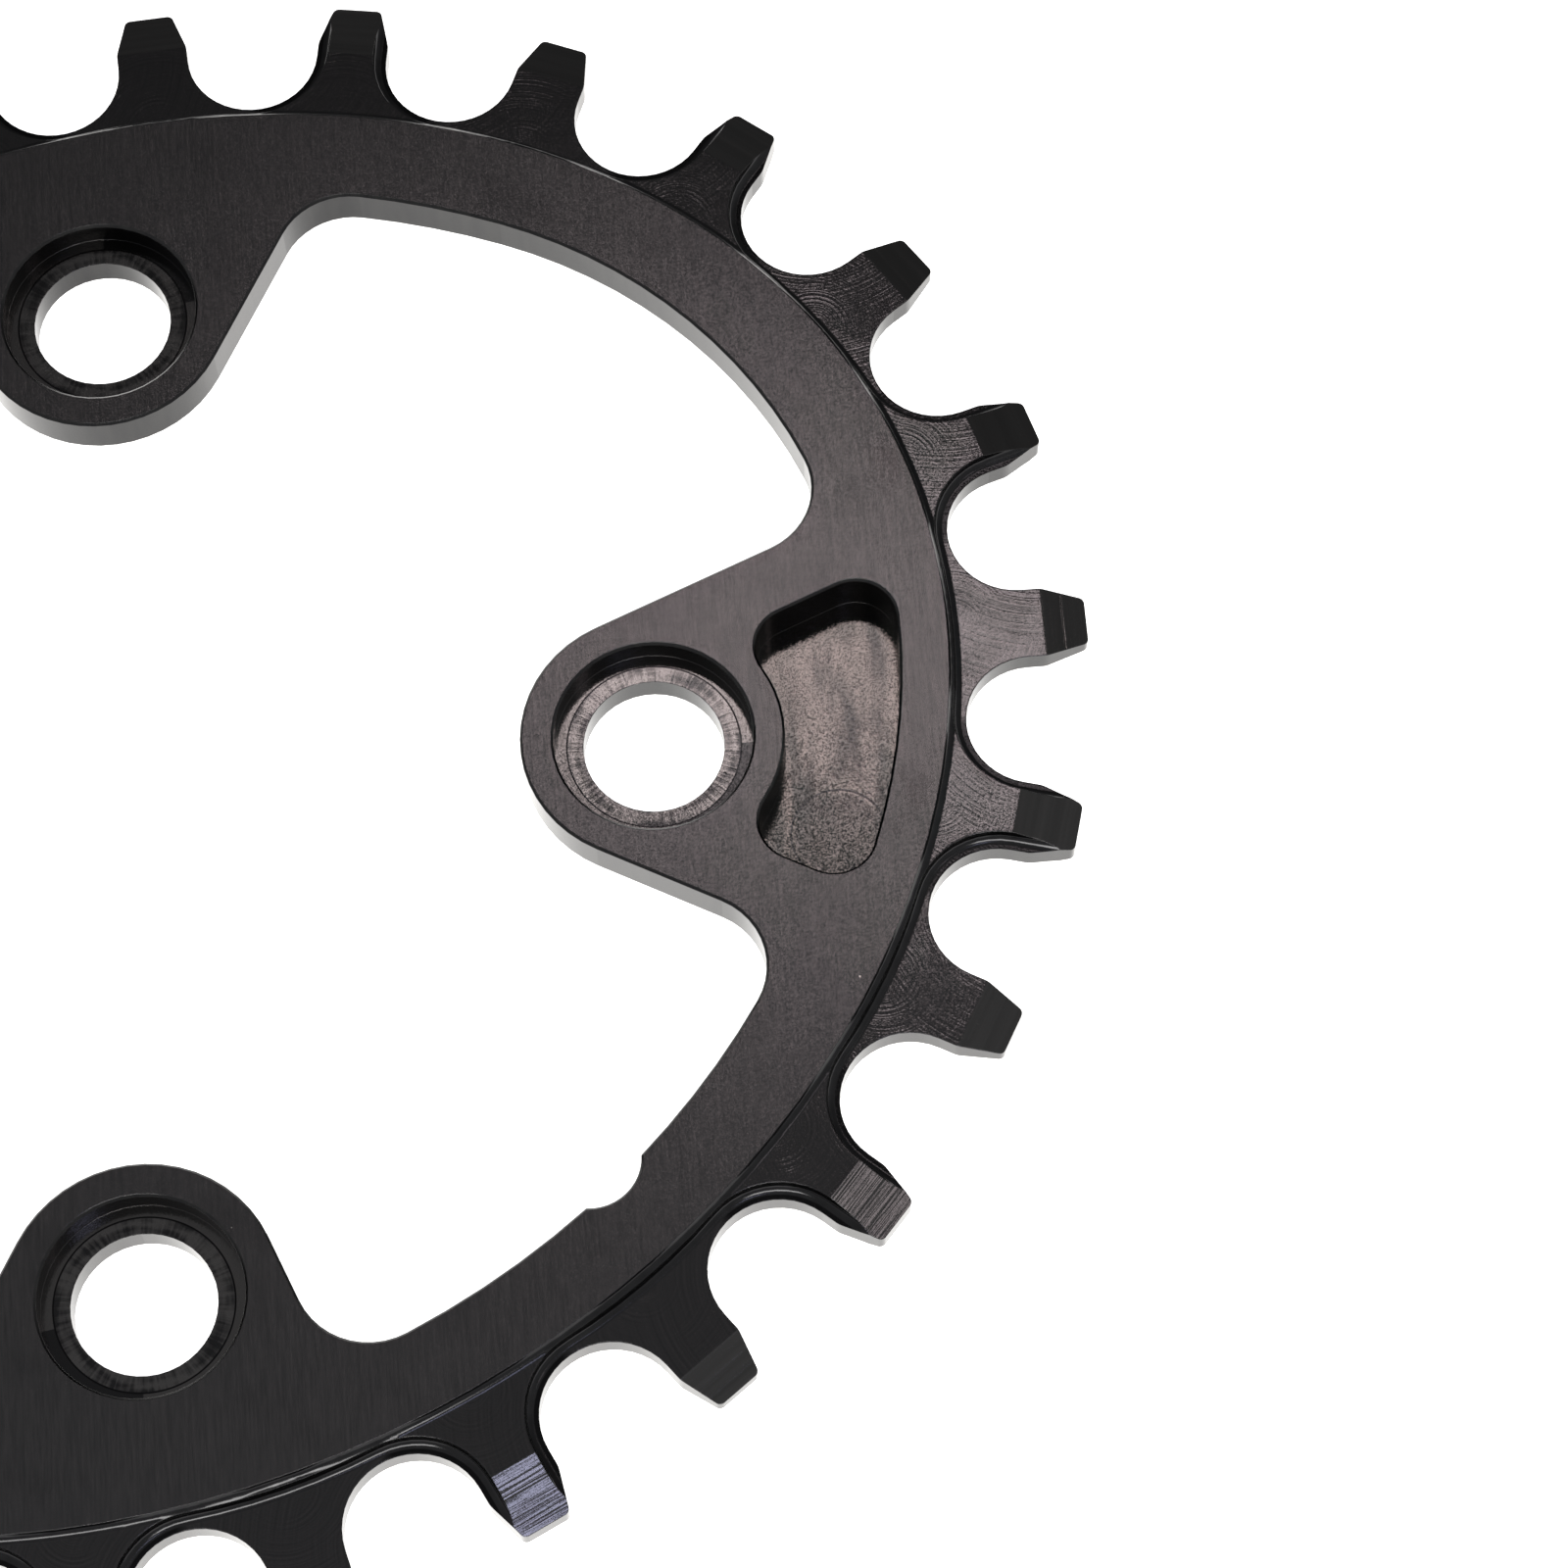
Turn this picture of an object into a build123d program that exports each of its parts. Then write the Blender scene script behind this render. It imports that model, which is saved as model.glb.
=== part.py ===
"""Oval narrow-wide bicycle chainring, machined in one piece from aluminium plate.

The origin is the centre of the bolt circle on the flat back face. +Z points out of the counterbored
front face, and +X points at one of the four bolts. All lengths are in millimetres, angles in degrees.
"""
import os
from math import atan2, cos, degrees, hypot, pi, radians, sin

from build123d import *

# Chain, and the pitch oval on which the centres of its rollers lie
TOOTH_PAIRS = 13  # one narrow and one wide tooth each
CHAIN_PITCH = 12.7
ROLLER_DIAMETER = 7.75
OVALITY = 1.175  # long axis over short axis
CLOCKING = 26.5  # from the +X bolt to the long axis
FIRST_SEAT = -1.4  # eccentric angle from the long axis to the first roller

# Tooth outline, with heights from the straight line between two seat centres
SEAT_RADIUS = 4.15
TOOTH_HEIGHT = 3.75
TIP_WIDTH = 2.95
TIP_RADIUS = 0.4
SHOULDER_HEIGHT = 1.15
SHOULDER_RADIUS = 1.5

# Tooth thickness: wide teeth lie flush with the back face, narrow ones half way up the wide ones
PLATE_THICKNESS = 3.6
WIDE_STEP = 0.4  # front face down to the wide teeth
NARROW_THICKNESS = 1.6
WIDE_TIP_THICKNESS = 1.3
WIDE_RAMP_START = -0.05  # height at which the tip begins to thin
NARROW_TIP_THICKNESS = 0.9
NARROW_RAMP_START = 1.1

# Steps from the face down to the teeth
FACE_INSET = 5.0  # pitch oval to the edge of the front face
LEDGE_WIDTH = 0.8  # narrow ledge round each seat, beside the wide teeth
LEDGE_RISE = 0.45  # how far the ledge's inner line bows outwards at a narrow tooth
COVE_RADIUS = 0.5  # rounding in the corner at the foot of each step

# Bolt tabs
BOLTS = 4
BOLT_CIRCLE = 64.0
BOLT_HOLE = 8.5
COUNTERBORE = 12.0
BOLT_SHELF = 1.9  # metal left under the counterbore
TAB_RADIUS = 8.0
TAB_SPLAY_LEFT = 21.4  # flanks open outwards from the tab's centre line
TAB_SPLAY_RIGHT = 29.4
TAB_FILLET = 4.5

# Opening inside the rim
RIM_INSET_LONG = 10.6  # pitch oval to the opening, on the long axis
RIM_INSET_SHORT = 9.8  # and on the short axis
RIM_END_RADIUS = 32.0  # arcs at the two ends of the opening's long axis
NOTCHES = 2
NOTCH_ANGLE = -45.0
NOTCH_RADIUS = 3.0
NOTCH_CENTRE = 37.0
BACK_CHAMFER = 0.8
EDGE_BREAK = 0.15

# Lightening pockets in the front of two opposite tabs
POCKETS = 2
POCKET_FLOOR = 0.5  # metal left under the pocket
POCKET_INSET = 7.95  # pitch oval to the pocket
POCKET_WALL = 4.1  # tab flank to the pocket
POCKET_BOSS = 7.9  # radius that is left round the bolt
POCKET_CORNER = 2.5
POCKET_CORNER_SHARE = 0.45  # most that a corner takes of the pocket's width

CUT_MARGIN = 3.0  # how far a cutter reaches past the metal

TEETH = 2 * TOOTH_PAIRS


def halve(short_of, low, high):
    """Where short_of(x) turns from true to false between low and high."""
    for _ in range(50):
        middle = (low + high) / 2
        if short_of(middle):
            low = middle
        else:
            high = middle
    return low


def oval_point(semi_long, angle):
    """Point of the pitch oval at an eccentric angle, in the oval's own axes."""
    return semi_long * cos(angle), semi_long / OVALITY * sin(angle)


def seat_angles(semi_long):
    """Eccentric angles of the rollers, each one chain pitch on, up to the one that closes the round."""
    angles = [radians(FIRST_SEAT)]
    for _ in range(TEETH):
        x, y = oval_point(semi_long, angles[-1])

        def short_of_pitch(angle):
            far_x, far_y = oval_point(semi_long, angle)
            return hypot(far_x - x, far_y - y) < CHAIN_PITCH

        angles.append(halve(short_of_pitch, angles[-1], angles[-1] + pi / 2))
    return angles


def overshoots(semi_long):
    """Whether the rollers go more than once round an oval of this size."""
    angles = seat_angles(semi_long)
    return angles[-1] - angles[0] > 2 * pi


ROUND_RADIUS = CHAIN_PITCH / (2 * sin(pi / TEETH))
SEMI_LONG = halve(overshoots, ROUND_RADIUS / OVALITY, ROUND_RADIUS * OVALITY)
SEMI_SHORT = SEMI_LONG / OVALITY


def seat_centre(angle):
    """Centre of a seat that is rounder than its roller, so that the roller rests on the seat's floor."""
    roller = Vector(*oval_point(SEMI_LONG, angle))
    outwards = Vector(SEMI_SHORT * cos(angle), SEMI_LONG * sin(angle)).normalized()
    centre = roller + outwards * (SEAT_RADIUS - ROLLER_DIAMETER / 2)
    return centre.rotate(Axis.Z, CLOCKING)


SEATS = [seat_centre(angle) for angle in seat_angles(SEMI_LONG)[:TEETH]]


def tooth_plane(index):
    """Plane of a tooth: origin midway between its seats, X towards the first of them, Y outwards."""
    first = SEATS[index % TEETH]
    second = SEATS[(index + 1) % TEETH]
    return Plane((first + second) / 2, x_dir=first - second, z_dir=(0, 0, 1))


def half_chord(index):
    """Half the distance between the two seats of a tooth."""
    return (SEATS[index % TEETH] - SEATS[(index + 1) % TEETH]).length / 2


def ramp_plane(index):
    """Upright plane through the middle of a tooth: X outwards, Y up from the back face."""
    tooth = tooth_plane(index)
    return Plane(tooth.origin, x_dir=tooth.y_dir, z_dir=tooth.x_dir)


def oval(inset, mode=Mode.ADD):
    """Oval that lies a constant inset within the pitch oval."""
    return Ellipse(SEMI_LONG - inset, SEMI_SHORT - inset, rotation=CLOCKING, mode=mode)


NARROW_TEETH = range(0, TEETH, 2)
WIDE_TEETH = range(1, TEETH, 2)
WIDE_FRONT = PLATE_THICKNESS - WIDE_STEP
TOOTH_MIDDLE = WIDE_FRONT / 2
NARROW_FRONT = TOOTH_MIDDLE + NARROW_THICKNESS / 2
BLANK_RADIUS = SEMI_LONG + TOOTH_HEIGHT + CUT_MARGIN
TOOTH_MIRROR = Plane.XY.offset(TOOTH_MIDDLE)
RAMP_HALF_WIDTH = CHAIN_PITCH / 4  # wider than the tooth, and short of the next one
POCKET_TABS = PolarLocations(0, BOLTS).local_locations[:: BOLTS // POCKETS][:POCKETS]
UPWARDS = (Align.CENTER, Align.CENTER, Align.MIN)


def tooth_outline(index):
    """One tooth, and the roller seat that follows it."""
    tooth = tooth_plane(index)
    following = tooth_plane(index + 1)
    root = half_chord(index) - SEAT_RADIUS
    following_root = half_chord(index + 1) - SEAT_RADIUS
    corners = [
        (root, 0),
        (root, SHOULDER_HEIGHT),
        (TIP_WIDTH / 2, TOOTH_HEIGHT),
        (-TIP_WIDTH / 2, TOOTH_HEIGHT),
        (-root, SHOULDER_HEIGHT),
        (-root, 0),
    ]
    radii = [SHOULDER_RADIUS, TIP_RADIUS, TIP_RADIUS, SHOULDER_RADIUS]
    FilletPolyline(*[tooth.from_local_coords(Vector(*corner)) for corner in corners], radius=radii)
    inwards = -(tooth.y_dir + following.y_dir).normalized()
    ThreePointArc(
        tooth.from_local_coords(Vector(-root, 0)),
        SEATS[(index + 1) % TEETH] + inwards * SEAT_RADIUS,
        following.from_local_coords(Vector(following_root, 0)),
    )


def relief_outline(index):
    """Relief round a narrow tooth and its two seats, up to the pads of the wide teeth beside it."""
    tooth = tooth_plane(index)
    before = tooth_plane(index - 1)
    after = tooth_plane(index + 1)
    reach = SEAT_RADIUS + LEDGE_WIDTH
    before_side = half_chord(index - 1) - reach
    after_side = half_chord(index + 1) - reach
    root_depth = reach - LEDGE_RISE
    bow_radius = (half_chord(index) ** 2 + root_depth**2 - reach**2) / (2 * LEDGE_RISE)
    bow_centre = tooth.from_local_coords(Vector(0, -root_depth - bow_radius))
    outside = TOOTH_HEIGHT + CUT_MARGIN

    def seat_side(seat, pad):
        """Arc about a seat, from the pad to the bow at the narrow tooth's root."""
        to_pad = (pad - seat).normalized()
        to_bow = (bow_centre - seat).normalized()
        return pad, seat + (to_pad + to_bow).normalized() * reach, seat + to_bow * reach

    first_arc = seat_side(SEATS[index % TEETH], before.from_local_coords(Vector(-before_side, 0)))
    second_arc = seat_side(SEATS[(index + 1) % TEETH], after.from_local_coords(Vector(after_side, 0)))
    first_end = before.from_local_coords(Vector(-before_side, outside))
    second_end = after.from_local_coords(Vector(after_side, outside))
    Line(first_end, first_arc[0])
    ThreePointArc(*first_arc)
    ThreePointArc(first_arc[2], tooth.from_local_coords(Vector(0, -root_depth)), second_arc[2])
    ThreePointArc(*second_arc)
    Line(second_arc[0], second_end)
    Line(second_end, first_end)


def ramp_outline(front, start, tip_thickness):
    """Wedge that thins a tooth from its front, from the start height out to the tip and past it."""
    slope = (front - TOOTH_MIDDLE - tip_thickness / 2) / (TOOTH_HEIGHT - start)
    outside = TOOTH_HEIGHT + CUT_MARGIN
    Polyline(
        (start, front),
        (outside, front - slope * (outside - start)),
        (outside, front + CUT_MARGIN),
        (start, front + CUT_MARGIN),
        close=True,
    )


def tab_side(side, splay, distance, length):
    """Line along one side of the +X tab, at a distance from the bolt's centre and out to a length."""
    along = Vector(1, 0).rotate(Axis.Z, side * splay)
    start = Vector(BOLT_CIRCLE / 2, 0) + along.rotate(Axis.Z, side * 90) * distance
    return start, start + along * length


def tab_sides(distance):
    """Ends of the left and right lines of the +X tab."""
    left = tab_side(1, TAB_SPLAY_LEFT, distance, SEMI_LONG)
    right = tab_side(-1, TAB_SPLAY_RIGHT, distance, SEMI_LONG)
    return left, right


def rim_outline():
    """Opening's oval without the tabs: two end arcs and two side arcs that meet smoothly."""
    end_centre = SEMI_LONG - RIM_INSET_LONG - RIM_END_RADIUS
    side_gain = SEMI_SHORT - RIM_INSET_SHORT - RIM_END_RADIUS
    side_centre = (end_centre**2 - side_gain**2) / (2 * side_gain)
    side_radius = RIM_END_RADIUS + hypot(end_centre, side_centre)
    end_angle = degrees(atan2(side_centre, end_centre))
    for turn in (CLOCKING, CLOCKING + 180):
        end = Vector(end_centre, 0).rotate(Axis.Z, turn)
        side = Vector(0, -side_centre).rotate(Axis.Z, turn)
        CenterArc(end, RIM_END_RADIUS, turn - end_angle, 2 * end_angle)
        CenterArc(side, side_radius, turn + end_angle, 180 - 2 * end_angle)


def pocket_width():
    """Least distance across a pocket, from the metal round the bolt out to the rim's wall."""
    widths = []
    for tab_place in POCKET_TABS:
        turn = radians(tab_place.orientation.Z - CLOCKING)
        rim = 1 / hypot(cos(turn) / (SEMI_LONG - POCKET_INSET), sin(turn) / (SEMI_SHORT - POCKET_INSET))
        widths.append(rim - BOLT_CIRCLE / 2 - POCKET_BOSS)
    return min(widths)


# Tab that points inwards along X, out to past the rim
with BuildSketch() as tab:
    left, right = tab_sides(TAB_RADIUS)
    with BuildLine():
        Polyline(left[0], left[1], right[1], right[0])
        ThreePointArc(right[0], (BOLT_CIRCLE / 2 - TAB_RADIUS, 0), left[0])
    make_face()

# Opening inside the rim, round the tabs
with BuildSketch() as opening:
    with BuildLine():
        rim_outline()
    make_face()
    with PolarLocations(0, BOLTS):
        add(tab.sketch, mode=Mode.SUBTRACT)
    # Shrunk and grown again, it is rounded wherever a tab meets the rim
    offset(amount=-TAB_FILLET)
    offset(amount=TAB_FILLET)

# Notch in the rim, with the same broken edges as the opening
with BuildPart() as notch:
    Cylinder(NOTCH_RADIUS, PLATE_THICKNESS, align=UPWARDS)
    Cone(NOTCH_RADIUS + BACK_CHAMFER, NOTCH_RADIUS, BACK_CHAMFER, align=UPWARDS)
    with Locations((0, 0, PLATE_THICKNESS - EDGE_BREAK)):
        Cone(NOTCH_RADIUS, NOTCH_RADIUS + EDGE_BREAK, EDGE_BREAK, align=UPWARDS)

# Step from the front face down to the wide teeth, all the way round
with BuildPart() as front_step:
    with BuildSketch(Plane.XY.offset(WIDE_FRONT)):
        Circle(BLANK_RADIUS)
        oval(FACE_INSET, mode=Mode.SUBTRACT)
    extrude(amount=WIDE_STEP + CUT_MARGIN)
    fillet(front_step.edges().group_by(Axis.Z)[0].filter_by(GeomType.ELLIPSE), COVE_RADIUS)

# Reliefs down to the narrow teeth, front and back
with BuildPart() as reliefs:
    with BuildSketch(Plane.XY.offset(NARROW_FRONT)):
        for index in NARROW_TEETH:
            with BuildLine():
                relief_outline(index)
            make_face()
    extrude(amount=PLATE_THICKNESS - NARROW_FRONT + CUT_MARGIN)
    foot_edges = reliefs.edges().group_by(Axis.Z)[0].sort_by(SortBy.LENGTH)
    fillet(foot_edges[: -len(NARROW_TEETH)], COVE_RADIUS)
    mirror(about=TOOTH_MIRROR)

# Ramps that thin the tooth tips, front and back
with BuildPart() as tip_ramps:
    with BuildSketch(*[ramp_plane(index) for index in WIDE_TEETH]):
        with BuildLine():
            ramp_outline(WIDE_FRONT, WIDE_RAMP_START, WIDE_TIP_THICKNESS)
        make_face()
    extrude(amount=RAMP_HALF_WIDTH, both=True)
    with BuildSketch(*[ramp_plane(index) for index in NARROW_TEETH]):
        with BuildLine():
            ramp_outline(NARROW_FRONT, NARROW_RAMP_START, NARROW_TIP_THICKNESS)
        make_face()
    extrude(amount=RAMP_HALF_WIDTH, both=True)
    mirror(about=TOOTH_MIRROR)

# Lightening pockets between the bolts and the rim, with corners that their width has room for
with BuildSketch() as pocket_flanks:
    left, right = tab_sides(TAB_RADIUS - POCKET_WALL)
    with BuildLine():
        Polyline(left[0], left[1], right[1], right[0], close=True)
    make_face()

with BuildSketch() as pockets:
    with Locations(*POCKET_TABS):
        add(pocket_flanks.sketch)
    oval(POCKET_INSET, mode=Mode.INTERSECT)
    with Locations(*POCKET_TABS):
        with Locations((BOLT_CIRCLE / 2, 0)):
            Circle(POCKET_BOSS, mode=Mode.SUBTRACT)
    corner = min(POCKET_CORNER, POCKET_CORNER_SHARE * pocket_width())
    fillet(pockets.vertices(), corner)

with BuildPart() as chainring:
    with BuildSketch():
        with BuildLine():
            for index in range(TEETH):
                tooth_outline(index)
        make_face()
        add(opening.sketch, mode=Mode.SUBTRACT)
    extrude(amount=PLATE_THICKNESS)
    add(front_step.part, mode=Mode.SUBTRACT)
    add(reliefs.part, mode=Mode.SUBTRACT)
    add(tip_ramps.part, mode=Mode.SUBTRACT)
    with BuildSketch(Plane.XY.offset(PLATE_THICKNESS)):
        add(pockets.sketch)
    extrude(amount=POCKET_FLOOR - PLATE_THICKNESS, mode=Mode.SUBTRACT)
    with Locations((0, 0, PLATE_THICKNESS)):
        with PolarLocations(BOLT_CIRCLE / 2, BOLTS):
            CounterBoreHole(BOLT_HOLE / 2, COUNTERBORE / 2, PLATE_THICKNESS - BOLT_SHELF)
    front_face = chainring.faces().sort_by(Axis.Z)[-1]
    back_face = chainring.faces().sort_by(Axis.Z)[0]
    back_opening = back_face.inner_wires().sort_by(SortBy.LENGTH)[-1]
    chamfer(back_opening.edges(), BACK_CHAMFER)
    chamfer(front_face.inner_wires().edges(), EDGE_BREAK)
    with PolarLocations(NOTCH_CENTRE, NOTCHES, start_angle=NOTCH_ANGLE):
        add(notch.part, mode=Mode.SUBTRACT)

chainring.part.label = "chainring"

os.makedirs("parts", exist_ok=True)
export_step(chainring.part, "parts/chainring.step")
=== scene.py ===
"""Oval bicycle chainring in black anodised aluminium, lying on a lit white table."""
import math

import bpy
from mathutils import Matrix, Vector


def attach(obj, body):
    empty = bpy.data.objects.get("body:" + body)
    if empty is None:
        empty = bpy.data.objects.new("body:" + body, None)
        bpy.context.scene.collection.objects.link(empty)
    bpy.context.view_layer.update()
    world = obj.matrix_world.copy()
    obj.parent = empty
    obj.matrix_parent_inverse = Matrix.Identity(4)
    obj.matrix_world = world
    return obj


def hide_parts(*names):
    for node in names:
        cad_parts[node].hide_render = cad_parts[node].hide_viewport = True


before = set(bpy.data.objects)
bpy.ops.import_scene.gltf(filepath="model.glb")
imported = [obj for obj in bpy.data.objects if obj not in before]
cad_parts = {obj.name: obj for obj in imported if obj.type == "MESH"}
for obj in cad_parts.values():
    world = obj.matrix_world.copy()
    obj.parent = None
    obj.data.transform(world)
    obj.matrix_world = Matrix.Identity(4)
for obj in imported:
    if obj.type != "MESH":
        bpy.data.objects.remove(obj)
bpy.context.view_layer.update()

MM = 0.001

# Heights of the plate's flat faces above its back, and the bolt circle, in millimetres
FRONT_FACE = 3.6
BOLT_SHELF = 1.9
POCKET_FLOOR = 0.5
SAME_HEIGHT = 0.1  # how far off a face may be and still count as one of these
BOLT_CIRCLE = 64.0
BOLTS = 4

# Slope of a face, from 0 for an upright wall to 1 for a level one
UPRIGHT = 0.05
STEEP = 0.9
LEVEL = 0.9995
BENT = 0.002  # how much the slope of a rounded face varies

# Marks that the cutters left, in millimetres from the bolt's or the tooth's middle
COUNTERBORE_RING = 5.25
PLUNGE_CENTRE = (10.6, -6.2, 0.0)
PLUNGE_RADIUS = 2.9
# Where the low ledges beside each tooth start and end; painted shade darkens their colour
SHADED_LEDGE_START = 5.6
SHADED_LEDGE_END = 6.4

TABLE_REACH = 1.5
TABLE_GAP = 0.02 * MM  # keeps the table's face from lying in the ring's back
LIGHT_DISTANCE = 0.9

# Sockets that Blender knows by number: a Map Range node's limits, and a Mix node's pairs and result
LOW, HIGH, TO_LOW, TO_HIGH = 1, 2, 3, 4
FIRST, SECOND = 2, 3
COLOUR, OTHER_COLOUR, MIXED = 6, 7, 2


def linear(code):
    """Linear colour of an sRGB hex code."""
    parts = [int(code[i:i + 2], 16) / 255 for i in (1, 3, 5)]
    return [p / 12.92 if p <= 0.04045 else ((p + 0.055) / 1.055) ** 2.4 for p in parts] + [1.0]


def add(tree, kind, sockets=None, **settings):
    """Adds a node; a socket takes a value, or a link where it is given another node's output."""
    made = tree.nodes.new("ShaderNode" + kind)
    for name, value in settings.items():
        setattr(made, name, value)
    for name, value in (sockets or {}).items():
        if isinstance(value, bpy.types.NodeSocket):
            tree.links.new(value, made.inputs[name])
        else:
            made.inputs[name].default_value = value
    return made


def start_metal(name, roughness):
    """New anodised metal: its node tree, its shader, and the object's place in millimetres."""
    metal = bpy.data.materials.new(name)
    metal.use_nodes = True
    tree = metal.node_tree
    shader = tree.nodes["Principled BSDF"]
    shader.inputs["Metallic"].default_value = 1.0
    shader.inputs["Roughness"].default_value = roughness
    place = add(tree, "TexCoord").outputs["Object"]
    millimetres = add(tree, "VectorMath", {0: place, "Scale": 1 / MM}, operation="SCALE")
    return metal, tree, shader, millimetres.outputs[0]


def relief(tree, shader, height, depth, place, facet=0.1, tilt=0.0, edge=0.06):
    """Bump of a depth on rounded edges, with facets that lean a little; sizes in millimetres."""
    normal = add(tree, "Bevel", {"Radius": edge * MM}, samples=6).outputs[0]
    if tilt:
        cells = add(tree, "TexVoronoi", {"Vector": place, "Scale": 1 / facet}).outputs["Color"]
        centred = add(tree, "VectorMath", {0: cells, 1: (0.5, 0.5, 0.5)}, operation="SUBTRACT")
        leant = add(
            tree, "VectorMath", {0: centred.outputs[0], "Scale": 2 * tilt}, operation="SCALE")
        summed = add(tree, "VectorMath", {0: normal, 1: leant.outputs[0]}, operation="ADD")
        normal = add(tree, "VectorMath", {0: summed.outputs[0]}, operation="NORMALIZE").outputs[0]
    bump = add(tree, "Bump", {"Distance": depth * MM, "Height": height, "Normal": normal})
    tree.links.new(bump.outputs[0], shader.inputs["Normal"])


def brushed_face():
    """Black anodised aluminium, brushed along Y: satin, with faint lines, dust and smudges."""
    metal, tree, shader, place = start_metal("brushed_black_anodised_aluminium", 0.225)
    # Lines about 0.05 mm apart on the real face, drawn 0.12 mm apart so that they show
    stretched = add(tree, "VectorMath", {0: place, 1: (8.0, 0.5, 1.0)}, operation="MULTIPLY")
    lines = add(
        tree, "TexNoise",
        {"Vector": stretched.outputs[0], "Scale": 1.0, "Detail": 4.0}).outputs["Fac"]
    tone = add(tree, "MapRange", {"Value": lines, LOW: 0.3, HIGH: 0.7}).outputs[0]
    satin = add(
        tree, "Mix", {"Factor": tone, COLOUR: linear("#303031"), OTHER_COLOUR: linear("#3a393a")},
        data_type="RGBA").outputs[MIXED]
    # Smudges a few millimetres across
    haze = add(tree, "TexNoise", {"Vector": place, "Scale": 0.2, "Detail": 4.0}).outputs["Fac"]
    dark = add(
        tree, "MapRange",
        {"Value": haze, LOW: 0.56, HIGH: 0.74, TO_LOW: 0.0, TO_HIGH: 0.3}).outputs[0]
    smudged = add(
        tree, "Mix", {"Factor": dark, COLOUR: satin, OTHER_COLOUR: linear("#232324")},
        data_type="RGBA").outputs[MIXED]
    # Dark flecks half a millimetre across, in some of the cells of 7 mm
    spots = add(
        tree, "TexVoronoi",
        {"Vector": place, "Scale": 0.14, "Detail": 1.0, "Roughness": 0.3}).outputs["Distance"]
    fleck = add(
        tree, "MapRange",
        {"Value": spots, LOW: 0.03, HIGH: 0.06, TO_LOW: 0.5, TO_HIGH: 0.0}).outputs[0]
    marked = add(
        tree, "Mix", {"Factor": fleck, COLOUR: smudged, OTHER_COLOUR: linear("#1c1c1d")},
        data_type="RGBA").outputs[MIXED]
    # Dust: one speck in some of the cells of 2.5 mm
    cells = add(tree, "TexVoronoi", {"Vector": place, "Scale": 0.4})
    near = add(tree, "Math", {0: cells.outputs["Distance"], 1: 0.028}, operation="LESS_THAN")
    chance = add(tree, "SeparateColor", {0: cells.outputs["Color"]}).outputs[0]
    some = add(tree, "Math", {0: chance, 1: 0.25}, operation="LESS_THAN")
    speck = add(
        tree, "Math", {0: near.outputs[0], 1: some.outputs[0]}, operation="MULTIPLY").outputs[0]
    dusty = add(
        tree, "Mix", {"Factor": speck, COLOUR: marked, OTHER_COLOUR: linear("#858180")},
        data_type="RGBA").outputs[MIXED]
    tree.links.new(dusty, shader.inputs["Base Color"])
    relief(tree, shader, lines, 0.0035, place, facet=0.07, tilt=0.022)
    return metal


def milled_teeth():
    """Black anodised aluminium as the end mill left it: arcs of the cutter and a fine sparkle."""
    metal, tree, shader, place = start_metal("end_milled_black_anodised_aluminium", 0.12)
    cutter = add(tree, "Attribute", attribute_name="cutter").outputs["Vector"]
    level = add(
        tree, "VectorMath", {0: cutter, 1: (1.0, 1.0, 0.0)}, operation="MULTIPLY").outputs[0]
    wander = add(tree, "TexNoise", {"Vector": place, "Scale": 0.5, "Detail": 2.0}).outputs["Fac"]
    # Two passes of the cutter, with uneven feed marks about 0.3 mm apart
    marks = []
    for centre, feed in (((0.0, -7.0, 0.0), 0.3), ((-8.0, -1.0, 0.0), 0.36)):
        reach = add(
            tree, "VectorMath", {0: level, 1: centre}, operation="DISTANCE").outputs["Value"]
        swept = add(
            tree, "Math", {0: wander, 1: 0.1, 2: reach}, operation="MULTIPLY_ADD").outputs[0]
        mark = add(
            tree, "TexNoise", {"W": swept, "Scale": 2 / feed, "Detail": 2.0},
            noise_dimensions="1D")
        marks.append(mark.outputs["Fac"])
    patches = add(tree, "TexNoise", {"Vector": place, "Scale": 0.3, "Detail": 1.0}).outputs["Fac"]
    share = add(
        tree, "MapRange",
        {"Value": patches, LOW: 0.4, HIGH: 0.6, TO_LOW: 0.15, TO_HIGH: 0.85}).outputs[0]
    arcs = add(tree, "Mix", {"Factor": share, FIRST: marks[0], SECOND: marks[1]}).outputs[0]
    # The arcs are cut deeper on some teeth than on others
    worn = add(tree, "TexNoise", {"Vector": cutter, "Scale": 0.45, "Detail": 1.0}).outputs["Fac"]
    cut = add(
        tree, "MapRange",
        {"Value": worn, LOW: 0.4, HIGH: 0.6, TO_LOW: 2.0, TO_HIGH: 3.5}).outputs[0]
    grit = add(tree, "TexNoise", {"Vector": place, "Scale": 11.0, "Detail": 1.0}).outputs["Fac"]
    height = add(tree, "Math", {0: arcs, 1: cut, 2: grit}, operation="MULTIPLY_ADD").outputs[0]
    # The ledges beside the next teeth, cut by the side of the mill, lie low between the teeth;
    # their base colour is painted darker there: painted shade
    sideways = add(tree, "SeparateXYZ", {0: cutter}).outputs[0]
    away = add(tree, "Math", {0: sideways}, operation="ABSOLUTE").outputs[0]
    ledge_painted_shade = add(tree, "MapRange", {"Value": away, LOW: SHADED_LEDGE_START, HIGH: SHADED_LEDGE_END}).outputs[0]
    tone = add(tree, "MapRange", {"Value": arcs, LOW: 0.3, HIGH: 0.7}).outputs[0]
    pad = add(
        tree, "Mix", {"Factor": tone, COLOUR: linear("#2a2a2b"), OTHER_COLOUR: linear("#323132")},
        data_type="RGBA").outputs[MIXED]
    grey = add(
        tree, "Mix", {"Factor": ledge_painted_shade, COLOUR: pad, OTHER_COLOUR: linear("#141415")},
        data_type="RGBA").outputs[MIXED]
    tree.links.new(grey, shader.inputs["Base Color"])
    relief(tree, shader, height, 0.002, place, facet=0.065, tilt=0.018, edge=0.12)
    return metal


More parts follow.
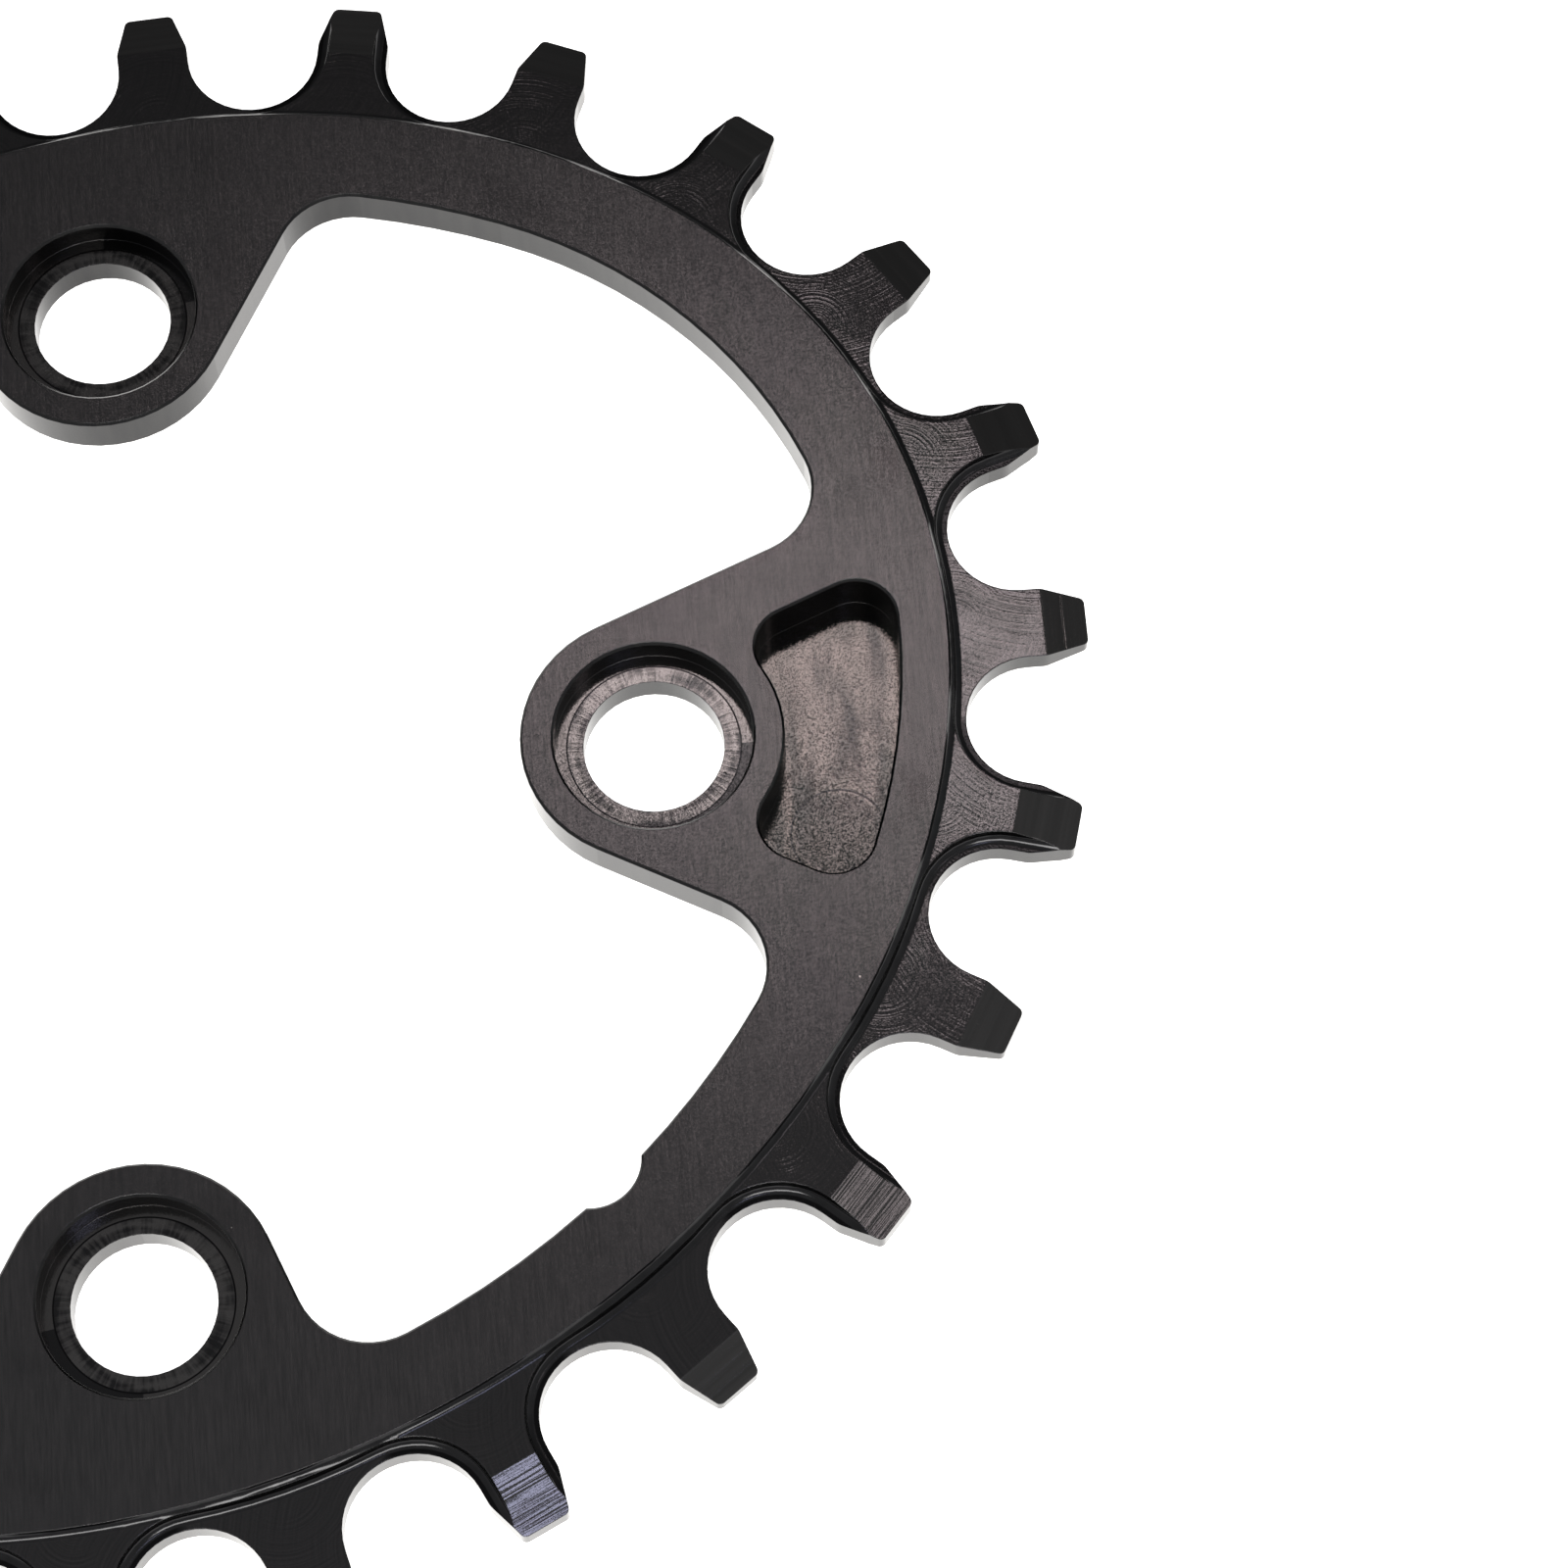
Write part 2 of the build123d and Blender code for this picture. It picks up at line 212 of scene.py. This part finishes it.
def ramped_tips():
    """Black anodised aluminium, ball-milled across the tip: dark, with lines that catch light."""
    metal, tree, shader, place = start_metal("ball_milled_black_anodised_aluminium", 0.13)
    cutter = add(tree, "Attribute", attribute_name="cutter").outputs["Vector"]
    # Passes about 0.6 mm apart with finer lines in them, none of them quite like the next
    stretched = add(tree, "VectorMath", {0: cutter, 1: (0.05, 1.6, 2.5)}, operation="MULTIPLY")
    passes = add(
        tree, "TexNoise",
        {"Vector": stretched.outputs[0], "Scale": 1.0, "Detail": 3.0}).outputs["Fac"]
    grey = add(
        tree, "Mix",
        {"Factor": passes, COLOUR: linear("#2f2f2f"), OTHER_COLOUR: linear("#3f3e3e")},
        data_type="RGBA").outputs[MIXED]
    tree.links.new(grey, shader.inputs["Base Color"])
    relief(tree, shader, passes, 0.06, place, facet=0.07, tilt=0.012)
    return metal


def counterbore_floor():
    """Black anodised aluminium, cut by a counterbore: radial chatter inside a fine ring."""
    metal, tree, shader, place = start_metal("counterbored_black_anodised_aluminium", 0.14)
    cutter = add(tree, "Attribute", attribute_name="cutter").outputs["Vector"]
    parts = add(tree, "SeparateXYZ", {0: cutter}).outputs
    angle = add(tree, "Math", {0: parts[1], 1: parts[0]}, operation="ARCTAN2").outputs[0]
    radius = add(tree, "VectorMath", {0: cutter}, operation="LENGTH").outputs["Value"]
    # Chatter about 0.25 mm wide at the middle of the floor, in darker and lighter sectors
    spoke = add(tree, "CombineXYZ", {0: angle, 1: radius}).outputs[0]
    spread = add(tree, "VectorMath", {0: spoke, 1: (22.0, 0.3, 1.0)}, operation="MULTIPLY")
    chatter = add(
        tree, "TexNoise",
        {"Vector": spread.outputs[0], "Scale": 1.0, "Detail": 2.0, "Roughness": 0.6}).outputs["Fac"]
    sectors = add(tree, "TexNoise", {"Vector": spoke, "Scale": 1.6, "Detail": 3.0}).outputs["Fac"]
    inside = add(
        tree, "Math", {0: radius, 1: COUNTERBORE_RING}, operation="LESS_THAN").outputs[0]
    mixed = add(tree, "Mix", {"Factor": 0.6, FIRST: chatter, SECOND: sectors}).outputs[0]
    tone = add(tree, "MapRange", {"Value": mixed, LOW: 0.4, HIGH: 0.56}).outputs[0]
    grey = add(
        tree, "Mix", {"Factor": tone, COLOUR: linear("#222223"), OTHER_COLOUR: linear("#424141")},
        data_type="RGBA").outputs[MIXED]
    # Outside the ring the floor is plain, and painted darker on one side: painted shade, as cast by
    # the counterbore's wall
    wall_shade_side = add(tree, "Math", {0: angle, 1: -0.72, 2: 0.67}, operation="COMPARE").outputs[0]
    outer = add(
        tree, "Mix", {"Factor": wall_shade_side, COLOUR: linear("#3c3b3b"), OTHER_COLOUR: linear("#202021")},
        data_type="RGBA").outputs[MIXED]
    floor = add(
        tree, "Mix", {"Factor": inside, COLOUR: outer, OTHER_COLOUR: grey},
        data_type="RGBA").outputs[MIXED]
    line = add(
        tree, "Math", {0: radius, 1: COUNTERBORE_RING, 2: 0.05}, operation="COMPARE").outputs[0]
    ringed = add(
        tree, "Mix", {"Factor": line, COLOUR: floor, OTHER_COLOUR: linear("#121213")},
        data_type="RGBA").outputs[MIXED]
    tree.links.new(ringed, shader.inputs["Base Color"])
    height = add(tree, "Math", {0: chatter, 1: inside}, operation="MULTIPLY").outputs[0]
    relief(tree, shader, height, 0.005, place, facet=0.06, tilt=0.017)
    return metal


def pocket_floor():
    """Black anodised aluminium, pocket-milled: sparkling, in soft bands, with a plunge mark."""
    metal, tree, shader, place = start_metal("pocket_milled_black_anodised_aluminium", 0.11)
    cutter = add(tree, "Attribute", attribute_name="cutter").outputs["Vector"]
    # Bands about 2 mm wide and 7 mm long
    bands = add(tree, "VectorMath", {0: cutter, 1: (0.55, 0.14, 1.0)}, operation="MULTIPLY")
    soft = add(
        tree, "TexNoise",
        {"Vector": bands.outputs[0], "Scale": 1.0, "Detail": 3.0, "Distortion": 0.4}).outputs["Fac"]
    tone = add(tree, "MapRange", {"Value": soft, LOW: 0.36, HIGH: 0.6}).outputs[0]
    grey = add(
        tree, "Mix", {"Factor": tone, COLOUR: linear("#262626"), OTHER_COLOUR: linear("#353332")},
        data_type="RGBA").outputs[MIXED]
    # Ring that the cutter left where it went down
    plunge = add(
        tree, "VectorMath", {0: cutter, 1: PLUNGE_CENTRE}, operation="DISTANCE").outputs["Value"]
    ring = add(
        tree, "Math", {0: plunge, 1: PLUNGE_RADIUS, 2: 0.06}, operation="COMPARE").outputs[0]
    ringed = add(
        tree, "Mix", {"Factor": ring, COLOUR: grey, OTHER_COLOUR: linear("#1f1f20")},
        data_type="RGBA").outputs[MIXED]
    disc = add(
        tree, "MapRange",
        {"Value": plunge, LOW: PLUNGE_RADIUS - 0.4, HIGH: PLUNGE_RADIUS - 0.1,
         TO_LOW: 0.5, TO_HIGH: 0.0}).outputs[0]
    sunk = add(
        tree, "Mix", {"Factor": disc, COLOUR: ringed, OTHER_COLOUR: linear("#222223")},
        data_type="RGBA").outputs[MIXED]
    tree.links.new(sunk, shader.inputs["Base Color"])
    grit = add(tree, "TexNoise", {"Vector": place, "Scale": 11.0, "Detail": 1.0}).outputs["Fac"]
    relief(tree, shader, grit, 0.0015, place, facet=0.06, tilt=0.026)
    return metal


def milled_walls():
    """Black anodised aluminium, side-milled: smooth and glossy, so it takes the table's white."""
    metal, tree, shader, place = start_metal("side_milled_black_anodised_aluminium", 0.2)
    stretched = add(tree, "VectorMath", {0: place, 1: (1.5, 1.5, 0.2)}, operation="MULTIPLY")
    feed = add(
        tree, "TexNoise",
        {"Vector": stretched.outputs[0], "Scale": 1.0, "Detail": 2.0}).outputs["Fac"]
    tone = add(tree, "MapRange", {"Value": feed, LOW: 0.3, HIGH: 0.7}).outputs[0]
    grey = add(
        tree, "Mix", {"Factor": tone, COLOUR: linear("#222223"), OTHER_COLOUR: linear("#292929")},
        data_type="RGBA").outputs[MIXED]
    tree.links.new(grey, shader.inputs["Base Color"])
    relief(tree, shader, feed, 0.001, place)
    return metal


def coves():
    """Black anodised aluminium, cut by a ball-nosed mill: deep gloss that draws bright lines."""
    metal, tree, shader, place = start_metal("ball_nosed_black_anodised_aluminium", 0.15)
    waves = add(tree, "TexNoise", {"Vector": place, "Scale": 1.2, "Detail": 2.0}).outputs["Fac"]
    grey = add(
        tree, "Mix", {"Factor": waves, COLOUR: linear("#1e1e1f"), OTHER_COLOUR: linear("#2a2a2b")},
        data_type="RGBA").outputs[MIXED]
    tree.links.new(grey, shader.inputs["Base Color"])
    relief(tree, shader, waves, 0.003, place)
    return metal


def cad_faces(mesh):
    """The plate's CAD faces as lists of polygons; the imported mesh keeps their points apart."""
    lead = list(range(len(mesh.vertices)))

    def first(point):
        while lead[point] != point:
            lead[point] = lead[lead[point]]
            point = lead[point]
        return point

    for polygon in mesh.polygons:
        start = first(polygon.vertices[0])
        for point in polygon.vertices[1:]:
            lead[first(point)] = start
    faces = {}
    for polygon in mesh.polygons:
        faces.setdefault(first(polygon.vertices[0]), []).append(polygon)
    return list(faces.values())


FINISHES = {
    "brushed": brushed_face,
    "teeth": milled_teeth,
    "ramps": ramped_tips,
    "counterbore": counterbore_floor,
    "pocket": pocket_floor,
    "walls": milled_walls,
    "coves": coves,
}


def finish_of(face):
    """Which finish a CAD face has, by its slope and its height."""
    slopes = [abs(polygon.normal.z) for polygon in face]
    if max(slopes) < UPRIGHT:
        return "walls"
    if max(slopes) - min(slopes) > BENT:
        return "coves"
    if min(slopes) < STEEP:
        return "walls"
    if min(slopes) < LEVEL:
        return "ramps"
    height = face[0].center.z / MM
    if face[0].normal.z < 0:
        return "brushed" if height < SAME_HEIGHT else "teeth"
    if height > FRONT_FACE - SAME_HEIGHT:
        return "brushed"
    if abs(height - BOLT_SHELF) < SAME_HEIGHT:
        return "counterbore"
    if abs(height - POCKET_FLOOR) < SAME_HEIGHT:
        return "pocket"
    return "teeth"


def middle(face):
    """Middle of a CAD face, weighted by area."""
    area = sum(polygon.area for polygon in face)
    return sum((polygon.center * polygon.area for polygon in face), Vector()) / area


def dressed_ring():
    """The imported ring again, with a finish on each face and the cutter's place on milled ones."""
    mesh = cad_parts["chainring"].data.copy()
    ring = bpy.data.objects.new("anodised_chainring", mesh)
    bpy.context.scene.collection.objects.link(ring)
    mesh.materials.clear()
    for make in FINISHES.values():
        mesh.materials.append(make())

    faces = [(finish_of(face), face) for face in cad_faces(mesh)]
    ramps = [(middle(face), face[0].normal) for finish, face in faces if finish == "ramps"]
    bolts = []
    for bolt in range(BOLTS):
        turn = 2 * math.pi * bolt / BOLTS
        bolts.append((Vector((math.cos(turn), math.sin(turn), 0)) * BOLT_CIRCLE / 2 * MM, turn))

    cutter = mesh.attributes.new("cutter", "FLOAT_VECTOR", "POINT")
    order = list(FINISHES)
    for finish, face in faces:
        for polygon in face:
            polygon.material_index = order.index(finish)
        centre = middle(face)
        own = 0.0
        if finish in ("teeth", "ramps"):
            origin, slope = min(ramps, key=lambda ramp: (ramp[0] - centre).length)
            outwards = Vector((slope.x, slope.y, 0)).normalized()
            # A number of its own, so that no two teeth have the same marks
            own = 0.7 * origin.x / MM
        elif finish in ("counterbore", "pocket"):
            origin, turn = min(bolts, key=lambda bolt: (bolt[0] - centre).length)
            outwards = Vector((-math.sin(turn), math.cos(turn), 0))
        else:
            continue
        along = outwards.cross(Vector((0, 0, 1)))
        for polygon in face:
            for point in polygon.vertices:
                away = (mesh.vertices[point].co - origin) / MM
                cutter.data[point].vector = (away.dot(along), away.dot(outwards), own)

    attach(ring, "root")
    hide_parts("chainring")


def white_table():
    """White acrylic table, lit from below, so that the ring throws almost no shadow."""
    mesh = bpy.data.meshes.new("table_top")
    corners = [
        (-TABLE_REACH, -TABLE_REACH, 0),
        (TABLE_REACH, -TABLE_REACH, 0),
        (TABLE_REACH, TABLE_REACH, 0),
        (-TABLE_REACH, TABLE_REACH, 0),
    ]
    mesh.from_pydata(corners, [], [(0, 1, 2, 3)])
    table = bpy.data.objects.new("white_table", mesh)
    table.location.z = -TABLE_GAP
    bpy.context.scene.collection.objects.link(table)
    acrylic = bpy.data.materials.new("lit_white_acrylic")
    acrylic.use_nodes = True
    shader = acrylic.node_tree.nodes["Principled BSDF"]
    shader.inputs["Base Color"].default_value = linear("#f4f2ee")
    shader.inputs["Roughness"].default_value = 0.6
    shader.inputs["Emission Color"].default_value = linear("#ffffff")
    shader.inputs["Emission Strength"].default_value = 1.1
    mesh.materials.append(acrylic)


def surroundings():
    """White walls round the table and a dimmer ceiling, both in shade towards the back."""
    world = bpy.data.worlds.new("white_room")
    world.use_nodes = True
    tree = world.node_tree
    place = add(tree, "TexCoord").outputs["Generated"]
    parts = add(tree, "SeparateXYZ", {0: place}).outputs
    bright = add(
        tree, "MapRange",
        {"Value": parts[2], LOW: 0.1, HIGH: 0.75, TO_LOW: 0.8, TO_HIGH: 0.64}).outputs[0]
    shade = add(
        tree, "MapRange",
        {"Value": parts[1], LOW: 0.15, HIGH: 0.55, TO_LOW: 1.3, TO_HIGH: 0.5}).outputs[0]
    shaded = add(tree, "Math", {0: bright, 1: shade}, operation="MULTIPLY").outputs[0]
    sky = tree.nodes["Background"]
    sky.inputs["Color"].default_value = linear("#ffffff")
    tree.links.new(shaded, sky.inputs["Strength"])
    bpy.context.scene.world = world


def soft_light(name, direction, size, radiance, colour):
    """Soft box that faces the ring, of a size in metres and a brightness."""
    light = bpy.data.lights.new(name, "AREA")
    light.shape = "RECTANGLE"
    light.size, light.size_y = size
    light.energy = radiance * math.pi * size[0] * size[1]
    light.color = linear(colour)[:3]
    box = bpy.data.objects.new(name, light)
    box.location = Vector(direction).normalized() * LIGHT_DISTANCE
    box.rotation_euler = Vector(direction).to_track_quat("Z", "Y").to_euler()
    box.visible_camera = False
    bpy.context.scene.collection.objects.link(box)


def camera():
    """The photograph's place, turn and lens."""
    lens = bpy.data.cameras.new("camera")
    lens.sensor_width = 36.0
    lens.lens = 111.14
    eye = bpy.data.objects.new("camera", lens)
    eye.location = Vector((31.600, -115.622, 269.418)) * MM
    eye.rotation_euler = [math.radians(turn) for turn in (22.8399, 0.5158, -5.2730)]
    bpy.context.scene.collection.objects.link(eye)
    bpy.context.scene.camera = eye


dressed_ring()
white_table()
surroundings()
soft_light("overhead_strip", (0.096, 0.411, 0.908), (0.207, 0.05), 17.0, "#fff0ee")
soft_light("right_soft_box", (0.193, -0.235, 0.968), (0.14, 0.05), 18.0, "#d9dcff")
soft_light("far_right_soft_box", (0.43, -0.045, 0.92), (0.08, 0.06), 7.5, "#fff0f3")
soft_light("front_soft_box", (0.02, -0.64, 0.77), (0.60, 0.20), 20.0, "#fffdf8")
camera()
bpy.context.scene.view_settings.view_transform = "Standard"
